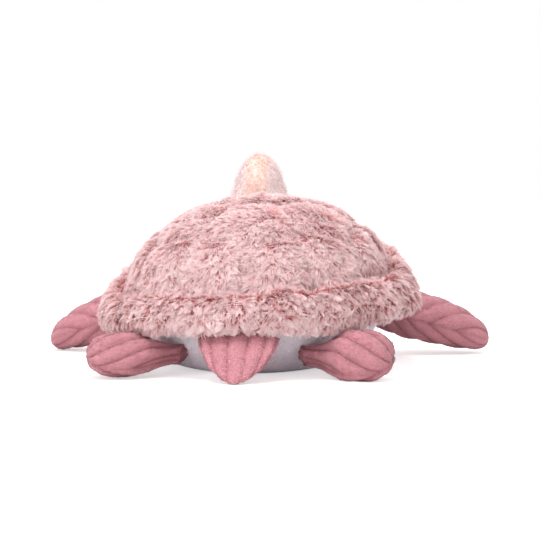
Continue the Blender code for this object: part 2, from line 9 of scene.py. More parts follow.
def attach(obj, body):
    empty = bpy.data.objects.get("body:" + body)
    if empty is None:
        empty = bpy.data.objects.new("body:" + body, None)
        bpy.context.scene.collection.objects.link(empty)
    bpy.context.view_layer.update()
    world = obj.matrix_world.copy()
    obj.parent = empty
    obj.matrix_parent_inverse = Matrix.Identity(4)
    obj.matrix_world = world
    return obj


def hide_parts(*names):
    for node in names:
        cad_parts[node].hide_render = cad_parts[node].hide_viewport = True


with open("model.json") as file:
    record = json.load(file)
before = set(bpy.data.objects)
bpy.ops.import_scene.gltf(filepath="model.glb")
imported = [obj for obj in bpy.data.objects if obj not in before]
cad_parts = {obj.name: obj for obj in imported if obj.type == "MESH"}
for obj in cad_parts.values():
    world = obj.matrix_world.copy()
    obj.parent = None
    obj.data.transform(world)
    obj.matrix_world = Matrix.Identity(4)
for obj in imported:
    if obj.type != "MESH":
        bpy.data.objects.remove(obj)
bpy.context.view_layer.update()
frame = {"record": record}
scene = bpy.context.scene
mm = 0.001
random = np.random.default_rng(11)  # the one stream that all scattered places are drawn from
joints = {joint["name"]: joint for joint in frame["record"]["behaviour"]["joints"]}


# small tools

def linear(text):
    # sRGB hex to the linear colour that Blender's sockets take
    channels = [int(text[i:i + 2], 16) / 255 for i in (1, 3, 5)]
    return tuple(c / 12.92 if c <= 0.04045 else ((c + 0.055) / 1.055) ** 2.4 for c in channels) + (1,)


def unit(vectors):
    # each vector divided by its length
    return vectors / np.maximum(np.linalg.norm(vectors, axis=-1, keepdims=True), 1e-12)


def smooth(share):
    # a soft step from 0 to 1: three times the square of the share, less twice its cube
    share = np.clip(share, 0, 1)
    return share * share * (3 - 2 * share)


def roundSteps(count):
    # even steps of a full turn, from 0
    return np.arange(count) / count * math.tau


def waves(places, size, seed, count=7):
    # a smooth random field: the mean of sine waves in random directions, each about one size long
    own = np.random.default_rng(seed)
    directions = unit(own.normal(size=(count, 3))) * own.uniform(0.7, 1.4, (count, 1))
    phases = own.uniform(0, math.tau, count)
    return np.sin(places @ directions.T * (math.tau / size) + phases).mean(1) * 1.6


def setInputs(node, inputs):
    # each input is a value or another node's output
    for key, value in inputs.items():
        if isinstance(value, bpy.types.NodeSocket):
            node.id_data.links.new(value, node.inputs[key])
        else:
            node.inputs[key].default_value = value


def addNode(tree, kind, inputs=None, **settings):
    # one shader node with its settings and inputs
    made = tree.nodes.new("ShaderNode" + kind)
    for key, value in settings.items():
        setattr(made, key, value)
    setInputs(made, inputs or {})
    return made


def addRamp(tree, factor, stops):
    # the colour that lies at a factor between stops, each a position and a hex colour
    ramp = addNode(tree, "ValToRGB", {"Fac": factor})
    elements = ramp.color_ramp.elements
    for position, colour in stops:
        elements.new(position).color = linear(colour)
    elements.remove(elements[0])
    elements.remove(elements[-1])
    return ramp.outputs["Color"]


def newMaterial(name):
    # the material, its tree and its Principled shader
    made = bpy.data.materials.new(name)
    made.use_nodes = True
    return made, made.node_tree, made.node_tree.nodes["Principled BSDF"]


def addObject(name, data):
    # a new object in the scene, made of this data
    made = bpy.data.objects.new(name, data)
    scene.collection.objects.link(made)
    return made


def makeMesh(name, points, corners, counts, material):
    # corners are the vertices of all faces in a row, and counts how many each face has
    mesh = bpy.data.meshes.new(name)
    mesh.vertices.add(len(points))
    mesh.vertices.foreach_set("co", np.ascontiguousarray(points, np.float32).ravel())
    mesh.loops.add(len(corners))
    mesh.loops.foreach_set("vertex_index", np.ascontiguousarray(corners, np.int32))
    mesh.polygons.add(len(counts))
    starts = np.concatenate([[0], np.cumsum(counts)[:-1]]).astype(np.int32)
    mesh.polygons.foreach_set("loop_start", starts)
    mesh.update(calc_edges=True)
    mesh.shade_smooth()
    mesh.materials.append(material)
    return addObject(name, mesh)


def gridMesh(name, grid, material):
    # rows of points that wrap round; the first and last rows are drawn to one point each
    rows, columns = grid.shape[:2]
    points = np.concatenate([grid[0].mean(0)[None], grid[1:-1].reshape(-1, 3), grid[-1].mean(0)[None]])
    index = 1 + np.arange((rows - 2) * columns).reshape(rows - 2, columns)
    right = np.roll(index, -1, axis=1)
    quads = np.stack([index[:-1], right[:-1], right[1:], index[1:]], -1).reshape(-1)
    first = np.stack([np.zeros(columns, int), right[0], index[0]], -1).reshape(-1)
    last = np.stack([np.full(columns, len(points) - 1), index[-1], right[-1]], -1).reshape(-1)
    counts = np.concatenate([np.full(len(quads) // 4, 4), np.full(2 * columns, 3)])
    return makeMesh(name, points, np.concatenate([quads, first, last]), counts, material)


def gridNormals(grid, outFrom):
    # the cross product of the grid's two directions, turned to point away from a middle
    down = np.gradient(grid, axis=0)
    wrapped = np.concatenate([grid[:, -1:], grid, grid[:, :1]], axis=1)
    across = (wrapped[:, 2:] - wrapped[:, :-2]) / 2
    normals = unit(np.cross(down, across))
    return normals * np.where(((grid - outFrom) * normals).sum(-1, keepdims=True) < 0, -1, 1)


def faceValues(made, key):
    # the middles or the normals of a mesh's faces
    values = np.empty(len(made.data.polygons) * 3, np.float32)
    made.data.polygons.foreach_get(key, values)
    return values.reshape(-1, 3)


def facing(made, outFrom):
    # turns a closed mesh's faces out if, taken together, they point at a place inside it
    away = (faceValues(made, "center") - np.array(outFrom)) * faceValues(made, "normal")
    if away.sum() < 0:
        made.data.flip_normals()
    return made


def setNumbers(made, key, values):
    # one number for each vertex, for the material to read
    made.data.attributes.new(key, "FLOAT", "POINT").data.foreach_set("value", values.astype(np.float32))


def scatter(grid, normals, count, weight=None):
    # places spread over a grid by area, each a weighted mean of its cell's four corners:
    # position, normal, direction down the rows, row share, column share
    wrapped = np.concatenate([grid, grid[:, :1]], axis=1)
    turned = np.concatenate([normals, normals[:, :1]], axis=1)
    sides = wrapped[1:, :-1] - wrapped[:-1, :-1]
    area = np.linalg.norm(np.cross(sides, wrapped[:-1, 1:] - wrapped[:-1, :-1]), axis=-1)
    if weight is not None:
        area = area * weight[:-1]
    chance = np.cumsum(area.ravel())
    picked = np.searchsorted(chance, random.uniform(0, chance[-1], count))
    picked = np.minimum(picked, area.size - 1)
    row, column = np.divmod(picked, area.shape[1])
    s, t = random.uniform(size=(2, count, 1))
    corners = [(row, column), (row, column + 1), (row + 1, column), (row + 1, column + 1)]
    weights = [(1 - s) * (1 - t), (1 - s) * t, s * (1 - t), s * t]
    place = sum(w * wrapped[c] for w, c in zip(weights, corners))
    normal = unit(sum(w * turned[c] for w, c in zip(weights, corners)))
    rowShare = (row + s[:, 0]) / area.shape[0]
    columnShare = (column + t[:, 0]) / area.shape[1]
    return place, normal, unit(sides[row, column]), rowShare, columnShare


def flatten(vectors, normals):
    # each vector less its part along the normal
    return unit(vectors - (vectors * normals).sum(-1, keepdims=True) * normals)


def turnAbout(vectors, axes, angles):
    # vectors square to their axes, turned: their cosine part and the cross product's sine part
    return vectors * np.cos(angles)[:, None] + np.cross(axes, vectors) * np.sin(angles)[:, None]


# how much the ribbons and locks of every pile differ
vary = dict(lockLength=(0.8, 1.15), length=(-0.12, 0.2), width=(0.7, 1.3), lockRise=0.16, rise=0.12,
            lay=0.12, lockGather=(0.6, 1.1), mostTwist=1.2, lockTone=0.2, tone=0.16, patchTone=0.22)


def makePile(name, place, normal, flow, look, material, seed, shade=0, stretch=1):
    # tapered ribbons that leave their roots at the rise angle and bend down evenly to the lay angle. Those
    # of one lock lean to their mean tip and differ by stray and loose. Shade darkens them
    own = np.random.default_rng(seed)
    count = len(place)
    lock = look["lock"]
    warped = place + 0.45 * lock * np.stack([waves(place, 3 * lock, seed + k) for k in range(3)], -1)
    cell = np.floor(warped / lock).astype(np.int64) + 4096  # three numbers of 13 bits make its key
    key = (cell[:, 0] << 26) + (cell[:, 1] << 13) + cell[:, 2]
    _, member = np.unique(key, return_inverse=True)
    locks = member.max() + 1
    size = np.bincount(member, minlength=locks)[:, None]

    def mean(values):
        # each lock's mean
        return np.stack([np.bincount(member, values[:, k], locks) for k in range(3)], -1) / size

    swing = own.normal(0, look["swing"], locks)[member] + own.normal(0, look["stray"], count)
    flow = turnAbout(flow, normal, swing)
    loose = look["loose"]
    longer = own.uniform(*vary["lockLength"], locks)[member]
    longer *= 1 - loose * own.uniform(*vary["length"], count)
    length = look["length"] * longer * stretch
    width = look["width"] * own.uniform(*vary["width"], count)
    rise = look["rise"] + own.normal(0, vary["lockRise"], locks)[member]
    rise += loose * own.normal(0, vary["rise"], count)
    lay = look["lay"] + own.normal(0, vary["lay"], count)
    side = np.cross(normal, flow)
    bow = own.normal(0, look["bow"], locks)[member] * length

    stations = look["stations"]
    path = [place - normal * look["sink"]]
    for low, high in zip(stations, stations[1:]):
        angle = rise + (lay - rise) * (low + high) / 2
        step = (normal * np.sin(angle)[:, None] + flow * np.cos(angle)[:, None]) * (high - low)
        path.append(path[-1] + step * length[:, None])
    tip = mean(path[-1])[member]
    gather = look["gather"] * own.uniform(*vary["lockGather"], locks)[member]
    reach = tip - path[-1]
    for k, station in enumerate(stations):
        sideways = side * (bow * math.sin(math.pi * station * 0.9))[:, None]
        path[k] = path[k] + reach * (gather * station ** 1.5)[:, None] + sideways
    twist = own.normal(0, look["twist"], count).clip(-vary["mostTwist"], vary["mostTwist"])
    ahead = unit(path[-1] - path[0])
    across = flatten(side * np.cos(twist)[:, None] + normal * np.sin(twist)[:, None], ahead)
    shares = np.interp(stations[:-1], [0, 0.42, 1], [0.75, 1, 0.4])  # widest a little below its middle
    half = (width / 2)[:, None]
    rows = []
    for k, share in enumerate(shares):
        rows += [path[k] - across * half * share, path[k] + across * half * share]
    points = np.stack(rows + [path[-1]], 1)
    points[..., 2] = np.maximum(points[..., 2], 0)  # no fibre goes through the table

    # the ribbon's two edges are its even and odd vertices, and its tip is the last one
    each = points.shape[1]
    edge = 2 * np.arange(len(shares) - 1)[:, None]
    base = (each * np.arange(count))[:, None]
    quads = base + (edge + np.array([0, 1, 3, 2])).reshape(1, -1)
    tips = base + each + np.array([[-3, -2, -1]])
    flip = (np.cross(across, ahead) * normal).sum(-1) < 0
    quads[flip] = quads[flip][:, ::-1]
    tips[flip] = tips[flip][:, ::-1]
    corners = np.concatenate([quads, tips], 1).reshape(-1)
    counts = np.tile([4] * (len(shares) - 1) + [3], count)
    made = makeMesh(name, points.reshape(-1, 3), corners, counts, material)

    uneven = vary["lockTone"] * own.normal(size=locks)[member]
    uneven += vary["tone"] * loose * own.normal(size=count)
    uneven += vary["patchTone"] * waves(place, look["patch"], seed + 9)
    tone = (0.5 + look["mottle"] * uneven - shade).clip(0.02, 0.98)
    along = np.repeat(stations, 2)[:-1]
    setNumbers(made, "pileAlong", np.tile(along, count))
    setNumbers(made, "pileTone", np.repeat(tone, each))
    # the map has one thin upright strip for each tone, so that all ribbons share it
    sideways = np.where(np.arange(each) % 2, 1, -1) * 0.004 * (along < 1)
    u = (tone[:, None] * 0.97 + 0.015 + sideways).reshape(-1)
    v = np.tile(0.02 + 0.96 * along, count)
    pairs = np.stack([u, v], -1)[corners].astype(np.float32)
    made.data.uv_layers.new(name="OFBake").data.foreach_set("uv", pairs.reshape(-1))
    return made


def finishPiece(made, body, replaced=()):
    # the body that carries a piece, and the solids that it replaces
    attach(made, body)
    if replaced:
        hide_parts(*replaced)


# stations are the shares of a ribbon's length where it bends
longBends = np.array([0, 0.42, 0.78, 1])
shortBends = np.array([0, 0.6, 1])


# materials

def pileMaterial(name, root, body, tip, low=0.86, high=1.06, passing=0.4, sheen=0, spread=0):
    # dyed polyester fibre: deeper in colour at its root, partly its dye and partly painted shade deep in the
    # pile, paler at its tip, matt, and a little see-through
    made, tree, shader = newMaterial(name)
    along = addNode(tree, "Attribute", attribute_name="pileAlong")
    tone = addNode(tree, "Attribute", attribute_name="pileTone")
    # a deep fibre is deep in colour further up, and a light one is pale further down
    moved = addNode(tree, "Math", {0: tone.outputs["Fac"], 1: spread, 2: -0.5 * spread},
                    operation="MULTIPLY_ADD")
    shifted = addNode(tree, "Math", {0: along.outputs["Fac"], 1: moved.outputs[0]}, use_clamp=True)
    colour = addRamp(tree, shifted.outputs[0], ((0.08, root), (0.45, body), (0.95, tip)))
    deep = addNode(tree, "MapRange", {"Value": tone.outputs["Fac"], "To Min": low, "To Max": high})
    hue = addNode(tree, "HueSaturation", {"Value": deep.outputs["Result"], "Color": colour})
    setInputs(shader, {
        "Base Color": hue.outputs["Color"], "Roughness": 0.95, "Specular IOR Level": 0.15,
        "Sheen Weight": sheen, "Sheen Roughness": 0.4})
    # a fine fibre passes some light on through itself
    through = addNode(tree, "BsdfTranslucent", {"Color": hue.outputs["Color"]})
    both = addNode(tree, "MixShader", {0: passing, 1: shader.outputs[0], 2: through.outputs[0]})
    setInputs(tree.nodes["Material Output"], {"Surface": both.outputs[0]})
    return made


def backingMaterial(name, colour, valley, size=4 * mm):
    # knitted backing, matt and mottled, seen only as the deep colour between locks
    made, tree, shader = newMaterial(name)
    places = addNode(tree, "TexCoord")
    grain = addNode(tree, "TexNoise", {"Vector": places.outputs["Object"], "Scale": 1 / size, "Detail": 3})
    # the mix's colours are its inputs 6 and 7 and its output 2
    mixed = addNode(tree, "Mix", {0: grain.outputs["Fac"], 6: linear(colour), 7: linear(valley)},
                    data_type="RGBA")
    setInputs(shader, {"Base Color": mixed.outputs[2], "Roughness": 1, "Specular IOR Level": 0.1})
    return made


# the shell's long dusty-pink plush: rose between its locks, partly painted shade, and pale at their tips
longPile = pileMaterial("longPilePolyesterPlush", "#D26D6A", "#F3D4D5", "#F8EBEB", 0.92, 1.05, spread=0.66)
longPileBacking = backingMaterial("longPileBacking", "#CF7B78", "#B95F5F")
# the head's short fuzzy plush, near white, its peach middle panel, and the pale lavender belly
fuzzyPile = pileMaterial("fuzzyPolyesterPlush", "#EEDCDB", "#F0DFDF", "#F4E7E7", 0.86, 1.05, 0.35, 0.3)
peachPile = pileMaterial("peachPolyesterPlush", "#F4D6CA", "#F6DBD0", "#F8E3DA", 0.86, 1.05, 0.35, 0.3)
bellyPile = pileMaterial("shortPilePolyesterPlush", "#EFEAF1", "#F5F1F6", "#FAF7FB", 0.86, 1.03, 0.15)


def velourMaterial(name, look):
    # cut-pile velour: the nap shines where it is seen aslant, and its colour is darker in the valleys
    # between ribs, painted shade
    made, tree, shader = newMaterial(name)
    places = addNode(tree, "TexCoord")
    height = addNode(tree, "Attribute", attribute_name="ribHeight")
    nap = addNode(tree, "TexNoise", {
        "Vector": places.outputs["Object"], "Scale": 1 / look["nap"], "Detail": 4, "Roughness": 0.6})
    patch = addNode(tree, "TexNoise", {
        "Vector": places.outputs["Object"], "Scale": 1 / look["patch"], "Detail": 2})
    # painted shade: the colour darkens from the crests down into the valleys, by rib height
    colour = addRamp(tree, height.outputs["Fac"], (
        (0.02, look["valley"]), (0.35, look["flank"]), (0.9, look["crest"])))
    sumOf = addNode(tree, "Math", {0: nap.outputs["Fac"], 1: patch.outputs["Fac"]})
    deep = addNode(tree, "MapRange", {
        "Value": sumOf.outputs["Value"], "From Min": 0.7, "From Max": 1.3, "To Min": 0.86, "To Max": 1.12})
    hue = addNode(tree, "HueSaturation", {"Value": deep.outputs["Result"], "Color": colour})
    bump = addNode(tree, "Bump", {
        "Height": nap.outputs["Fac"], "Strength": 0.55, "Distance": look["napDepth"]})
    setInputs(shader, {
        "Base Color": hue.outputs["Color"], "Normal": bump.outputs["Normal"], "Roughness": 0.9,
        "Specular IOR Level": 0.2, "Sheen Weight": 0.35, "Sheen Roughness": 0.4,
        "Sheen Tint": linear(look["sheen"])})
    return made


# the limbs' rose velour: a dense cut nap with a pale sheen; its ribs are painted lighter on the crests and
# darker in the valleys, painted shade
velourLook = dict(nap=2.2 * mm, napDepth=0.7 * mm, patch=18 * mm,
                  valley="#9C5863", flank="#B7757E", crest="#C1828B", sheen="#FFE4E8")
ribbedVelour = velourMaterial("ribbedCutVelour", velourLook)
velourNap = pileMaterial("cutVelourNap", "#B06F79", "#C58891", "#D09CA3", 0.62, 1.25, 0, 0.4)


# the body's own shape, as in the solids

body = dict(
    halfWidth=132 * mm, halfLength=150 * mm, seam=72 * mm, seamRise=9 * mm,
    archRise=30 * mm, archFlat=math.radians(50), archSpread=math.radians(108),
    top=169 * mm, lean=8 * mm, restWidth=58 * mm, restLength=92 * mm,
)


def seamHeight(angle):
    # level, less a cosine of the angle that lifts the right side, plus an arch over the neck
    fromHead = np.abs((angle + 1.5 * math.pi) % math.tau - math.pi)
    fading = (fromHead - body["archFlat"]) / (body["archSpread"] - body["archFlat"])
    arch = body["archRise"] * (1 - smooth(fading))
    return body["seam"] - body["seamRise"] * np.cos(angle) + arch


def domePoint(angle, climb):
    # the seam's ellipse shrinks with the climb's cosine, the height grows with its sine, and the top leans
    # to the right with the sine's cube
    base = seamHeight(angle)
    across = body["halfWidth"] * np.cos(climb) * np.cos(angle)
    along = body["halfLength"] * np.cos(climb) * np.sin(angle)
    up = base + (body["top"] - base) * np.sin(climb)
    return np.stack([across - body["lean"] * np.sin(climb) ** 3, along, up], -1)


def bellyPoint(angle, turn):
    # an ellipse grows to the seam's with the sine of the turn, and the height with 1 less its cosine
    out = np.sin(turn)
    halfWidth = body["restWidth"] * (1 - out) + body["halfWidth"] * out
    halfLength = body["restLength"] * (1 - out) + body["halfLength"] * out
    up = seamHeight(angle) * (1 - np.cos(turn))
    return np.stack([halfWidth * np.cos(angle), halfLength * np.sin(angle), up], -1)


# shell: quilted scutes under long pile

shell = dict(
    inset=5 * mm, grid=(80, 200),  # rows from the seam to the top, columns round it
    # one scute at the top, a ring of them in the middle and one at the edge, with their climbs in degrees
    middleScutes=6, middleClimb=52, edgeScutes=12, edgeClimb=20,
    puff=2 * mm, puffFrom=90 * mm, puffOver=20 * mm,  # the scutes above the brim are fuller
    groove=3.4 * mm, grooveWidth=7 * mm, pit=3.5 * mm, pitWidth=8 * mm, waver=0.8 * mm, waverSize=45 * mm,
    # where tufts pull the cloth in, in mm: (across, height) on the rear face
    pits=((16, 137), (54, 117), (18, 105), (-19, 147), (-9, 103), (-59, 104), (-97, 132),
          (-70, 145), (90, 133), (26, 163), (91, 103), (-91, 104)),
    # the pile is combed sideways from this height up and this near to a scute's middle, and swirls
    combFrom=120 * mm, combOver=45 * mm, comb=(0.9, 0.2, 0), star=22 * mm, swirl=38 * mm,
    fall=0.85, lessAtTop=0.6, away=0.45, combed=0.7,  # how much each way counts
    # the lowest locks hang over the crease at the brim, unevenly, and the pile near the grooves is darkened
    # with painted shade
    hang=0.7, hangShare=0.12, hangVaries=0.5, hangSize=26 * mm, paintedShadeWidth=5 * mm, paintedGrooveShade=0.22,
    shade=-0.03,
    pile=dict(
        stations=longBends, length=11 * mm, width=0.75 * mm, rise=0.62, lay=0.08, lock=4.5 * mm, gather=0.65,
        swing=0.6, stray=0.12, loose=0.4, bow=0.25, twist=0.12, sink=1 * mm, patch=60 * mm, mottle=1),
    count=160000, pieces=5, strayCount=9000,
)
# single fine fibres that stand clear of the locks, paler than they are
strays = dict(
    stations=shortBends, length=11 * mm, width=0.28 * mm, rise=1, lay=0.3, lock=6 * mm, gather=0.2,
    swing=0.9, stray=0.8, loose=1, bow=0.3, twist=0.6, sink=1 * mm, patch=60 * mm, mottle=0.5)
strayShade = -0.5


def ringAngles(count):
    # even steps round the shell that start half a step from its left
    return math.pi / count + np.arange(count) * math.tau / count


scuteAngles = np.concatenate([[0], ringAngles(shell["middleScutes"]), ringAngles(shell["edgeScutes"])])
scuteClimbs = np.radians(np.concatenate([
    [90], np.full(shell["middleScutes"], shell["middleClimb"]),
    np.full(shell["edgeScutes"], shell["edgeClimb"])]))
scuteCentres = domePoint(scuteAngles, scuteClimbs)


def nearestScute(places):
    # the scute that a place is on, and half of how much further the next one's middle is
    away = np.linalg.norm(places[:, None] - scuteCentres[None], axis=-1)
    order = np.sort(away, axis=1)
    return np.argmin(away, axis=1), (order[:, 1] - order[:, 0]) / 2


def pitPlaces():
    # a pit's climb from its height and its angle from its distance across, on the rear and front faces
    places = []
    for across, height in shell["pits"]:
        climb = math.asin((height * mm - body["seam"]) / (body["top"] - body["seam"]))
        share = min(0.99, max(-0.99, across * mm / (body["halfWidth"] * math.cos(climb))))
        for side in (1, -1):
            places.append(domePoint(side * math.acos(share * side), climb))
    return np.array(places)


pitCentres = pitPlaces()


def quilted(places, normals):
    # pulls the cloth in by bell curves of the distance from the lines between scutes and from the tufts
    flat = places.reshape(-1, 3)
    _, fromEdge = nearestScute(flat)
    depth = shell["inset"] - shell["puff"] * smooth((flat[:, 2] - shell["puffFrom"]) / shell["puffOver"])
    depth += (shell["groove"] + shell["puff"]) * np.exp(-(fromEdge / shell["grooveWidth"]) ** 2)
    fromPit = np.linalg.norm(flat[:, None] - pitCentres[None], axis=-1).min(1)
    depth += shell["pit"] * np.exp(-(fromPit / shell["pitWidth"]) ** 2)
    depth -= shell["waver"] * waves(flat, shell["waverSize"], 3)
    return places - normals * depth.reshape(places.shape[:-1])[..., None]


domeRows, domeColumns = shell["grid"]
columns = roundSteps(domeColumns)
climbs = math.pi / 2 * (1 - np.linspace(0, 1, domeRows)[::-1])
smoothDome = domePoint(columns[None], climbs[:, None])
middle = np.array([0, 0, 60 * mm])  # a place inside the body
downward = np.array([0, 0, -1])
domeGrid = quilted(smoothDome, gridNormals(smoothDome, middle))
domeNormals = gridNormals(domeGrid, middle)
# the dome is closed below, just under the seam
underside = middle + (domeGrid[:1] - middle) * np.array([1, 1, 0.9])
lid = (underside - underside.mean(1, keepdims=True)) * np.linspace(0.95, 0.01, 4)[:, None, None]
closedDome = np.concatenate([(lid + underside.mean(1, keepdims=True))[::-1], domeGrid])
shellBase = facing(gridMesh("shellDomeCloth", closedDome, longPileBacking), middle)
finishPiece(shellBase, "body", ["shell_dome", "body_stuffing"])
print("shell cloth done")

# pile flows away from the middle of each scute and down
each = shell["count"] // shell["pieces"]
for piece in range(shell["pieces"]):
    place, normal, _, rowShare, _ = scatter(domeGrid, domeNormals, each)
    nearest, fromEdge = nearestScute(place)
    fromCentre = place - scuteCentres[nearest]
    nearTop = smooth((place[:, 2] - shell["combFrom"]) / shell["combOver"])[:, None]
    # near a middle the pile is combed sideways instead, so that no bare star shows there
    fromMiddle = smooth(np.linalg.norm(fromCentre, axis=-1) / shell["star"])[:, None]
    fall = flatten(downward, normal) * (shell["fall"] - shell["lessAtTop"] * nearTop)
    away = flatten(fromCentre, normal) * shell["away"] * fromMiddle
    flow = unit(fall + away + flatten(np.array(shell["comb"]), normal) * nearTop * shell["combed"])
    flow = turnAbout(flow, normal, 0.7 * waves(place, shell["swirl"], 21))
    hanging = shell["hang"] + shell["hangVaries"] * waves(place, shell["hangSize"], 22)
    stretch = 1 + hanging * np.exp(-(rowShare / shell["hangShare"]) ** 2)
    # painted shade: the pile darkens near the grooves between the scutes
    shade = shell["paintedGrooveShade"] * np.exp(-(fromEdge / shell["paintedShadeWidth"]) ** 2) + shell["shade"]
    pile = makePile(f"shellPile{piece + 1}", place, normal, flow, shell["pile"], longPile,
                    100 + piece, shade, stretch)
    finishPiece(pile, "body")
place, normal, down, *_ = scatter(domeGrid, domeNormals, shell["strayCount"])
pile = makePile("shellStrays", place, normal, flatten(down, normal), strays, longPile, 150, strayShade)
finishPiece(pile, "body")
print("shell pile done")


# brim: a padded roll of the same plush

brim = dict(
    halfThickness=11.5 * mm, halfHeight=17.5 * mm, lean=6 * mm, mouth=math.radians(24), inset=3.8 * mm,
    gap=0.3 * mm, grid=(40, 320),  # points round a section, sections round the shell
    # at its right end the brim curls out and a little up, and over the right rear flipper it sags;
    # the widths are in radians
    curlAt=math.radians(166), curlWidth=0.3, curlUp=2 * mm, curlOut=12 * mm,
    sag=8 * mm, sagAt=math.radians(124), sagWidth=0.45,
    ripple=2.2 * mm, rippleSize=42 * mm, swirl=38 * mm, fall=0.25, shade=0.1,
    # the turns of a section, in degrees: little pile grows where it faces the dome, and it parts on top
    hidden=(150, 235), hiddenShare=0.15, parting=(120, 215),
    pile=dict(shell["pile"], length=12 * mm, width=0.8 * mm, rise=0.72, lay=0.05, lock=5.5 * mm,
              gather=0.7, swing=0.7),
    count=84000, pieces=3, strayCount=7000,
)


def brimPoint(angle, section, inset):
    # an ellipse that leans inwards, carried round the seam; curl and sag are bell curves of the angle
    thick, high, lean = brim["halfThickness"], brim["halfHeight"], brim["lean"]
    middleOut = math.hypot(thick, lean) * math.cos(brim["mouth"]) + brim["gap"]
    middleUp = -high * math.sin(math.atan2(lean, thick))
    out = middleOut + (1 - inset / thick) * (thick * np.cos(section) - lean * np.sin(section))
    curl = np.exp(-((angle - brim["curlAt"]) / brim["curlWidth"]) ** 2)
    out = out + brim["curlOut"] * curl * (0.5 + 0.5 * np.cos(section)) * (0.6 - 0.4 * np.sin(section))
    sag = brim["sag"] * np.exp(-((angle - brim["sagAt"]) / brim["sagWidth"]) ** 2)
    sag = sag * np.clip(-np.sin(section), 0, 1)
    lift = brim["curlUp"] * curl * np.clip(np.sin(section), 0, 1)
    up = middleUp - sag + (high - inset) * np.sin(section) + lift
    slope = unit(np.stack([np.cos(angle) / body["halfWidth"], np.sin(angle) / body["halfLength"]], -1))
    return np.stack([
        body["halfWidth"] * np.cos(angle) + slope[..., 0] * out,
        body["halfLength"] * np.sin(angle) + slope[..., 1] * out,
        seamHeight(angle) + up + 0 * section,
    ], -1)


def tubeMesh(name, grid, material):
    # a closed ring of closed sections: both directions of the grid wrap
    rowCount, columnCount = grid.shape[:2]
    index = np.arange(rowCount * columnCount).reshape(rowCount, columnCount)
    right = np.roll(index, -1, axis=1)
    below = np.roll(index, -1, axis=0)
    both = np.roll(right, -1, axis=0)
    quads = np.stack([index, right, both, below], -1).reshape(-1)
    return makeMesh(name, grid.reshape(-1, 3), quads, np.full(len(quads) // 4, 4), material)


brimRows, brimColumns = brim["grid"]
sections = roundSteps(brimRows)
brimAngles = roundSteps(brimColumns)
brimGrid = brimPoint(brimAngles[None], sections[:, None], brim["inset"])
brimMiddle = brimPoint(brimAngles[None], sections[:, None], 0.98 * brim["halfThickness"])
ripple = brim["ripple"] * waves(brimGrid.reshape(-1, 3), brim["rippleSize"], 5).reshape(brimGrid.shape[:2])
brimNormals = gridNormals(brimGrid, brimMiddle)
brimGrid = brimGrid + brimNormals * ripple[..., None]
brimBase = facing(tubeMesh("shellBrimCloth", brimGrid, longPileBacking), middle)
finishPiece(brimBase, "body", ["shell_brim", "brim_stuffing"])


def between(turns, ends):
    # whether each turn lies between two ends in degrees
    low, high = np.radians(ends)
    return (turns > low) & (turns < high)


weight = np.where(between(sections, brim["hidden"]), brim["hiddenShare"], 1)[:, None]
each = brim["count"] // brim["pieces"]
for piece in range(brim["pieces"]):
    place, normal, around, rowShare, _ = scatter(brimGrid, brimNormals, each, weight)
    section = rowShare * ((brimRows - 1) / brimRows) * math.tau
    over = np.where(between(section, brim["parting"]), 1, -1)[:, None]
    flow = flatten(around * over + brim["fall"] * downward, normal)
    flow = turnAbout(flow, normal, 0.8 * waves(place, brim["swirl"], 31))
    pile = makePile(f"brimPile{piece + 1}", place, normal, flow, brim["pile"], longPile,
                    200 + piece, brim["shade"])
    finishPiece(pile, "body")
place, normal, around, *_ = scatter(brimGrid, brimNormals, brim["strayCount"], weight)
pile = makePile("brimStrays", place, normal, flatten(around, normal), strays, longPile, 250, strayShade)
finishPiece(pile, "body")
print("brim done")


# belly: pale short plush

belly = dict(
    # it ends inside the brim, so that no pale cloth shows between brim and dome
    endShare=0.9, rows=50, restRows=16, lidRise=1 * mm,
    bareTo=4 * mm, bareOver=8 * mm,  # the flat patch on the table has no pile, and it thickens above
    count=24000, swirl=30 * mm,
    pile=dict(
        stations=shortBends, length=4 * mm, width=1.3 * mm, rise=0.3, lay=0.05, lock=6 * mm, gather=0.15,
        swing=0.5, stray=0.4, loose=1, bow=0.1, twist=0.08, sink=0.4 * mm, patch=25 * mm, mottle=0.8),
)
bellyBacking = backingMaterial("shortPileBacking", "#EAE5EC", "#DED8E0")
turns = math.pi / 2 * np.linspace(0, belly["endShare"], belly["rows"])
grow = np.linspace(0.001, 1, belly["restRows"])[:, None, None]
rest = grow * bellyPoint(columns[None], np.zeros((1, 1)))
bellyGrid = np.concatenate([rest, bellyPoint(columns[None], turns[1:, None])])
bellyNormals = gridNormals(bellyGrid, middle)
lid = bellyPoint(columns[None], turns[-1:, None]) * np.linspace(0.97, 0.01, 4)[:, None, None]
lid = lid + np.array([0, 0, belly["lidRise"]])
bellyBase = facing(gridMesh("bellyCloth", np.concatenate([bellyGrid, lid]), bellyBacking), middle)
finishPiece(bellyBase, "body", ["belly_panel"])
clear = smooth((bellyGrid[..., 2] - belly["bareTo"]) / belly["bareOver"])
place, normal, *_ = scatter(bellyGrid, bellyNormals, belly["count"], clear)
flow = turnAbout(flatten(downward, normal), normal, waves(place, belly["swirl"], 41))
pile = makePile("bellyPile", place, normal, flow, belly["pile"], bellyPile, 300)
finishPiece(pile, "body")
print("belly done")


# flippers and tail of ribbed velour

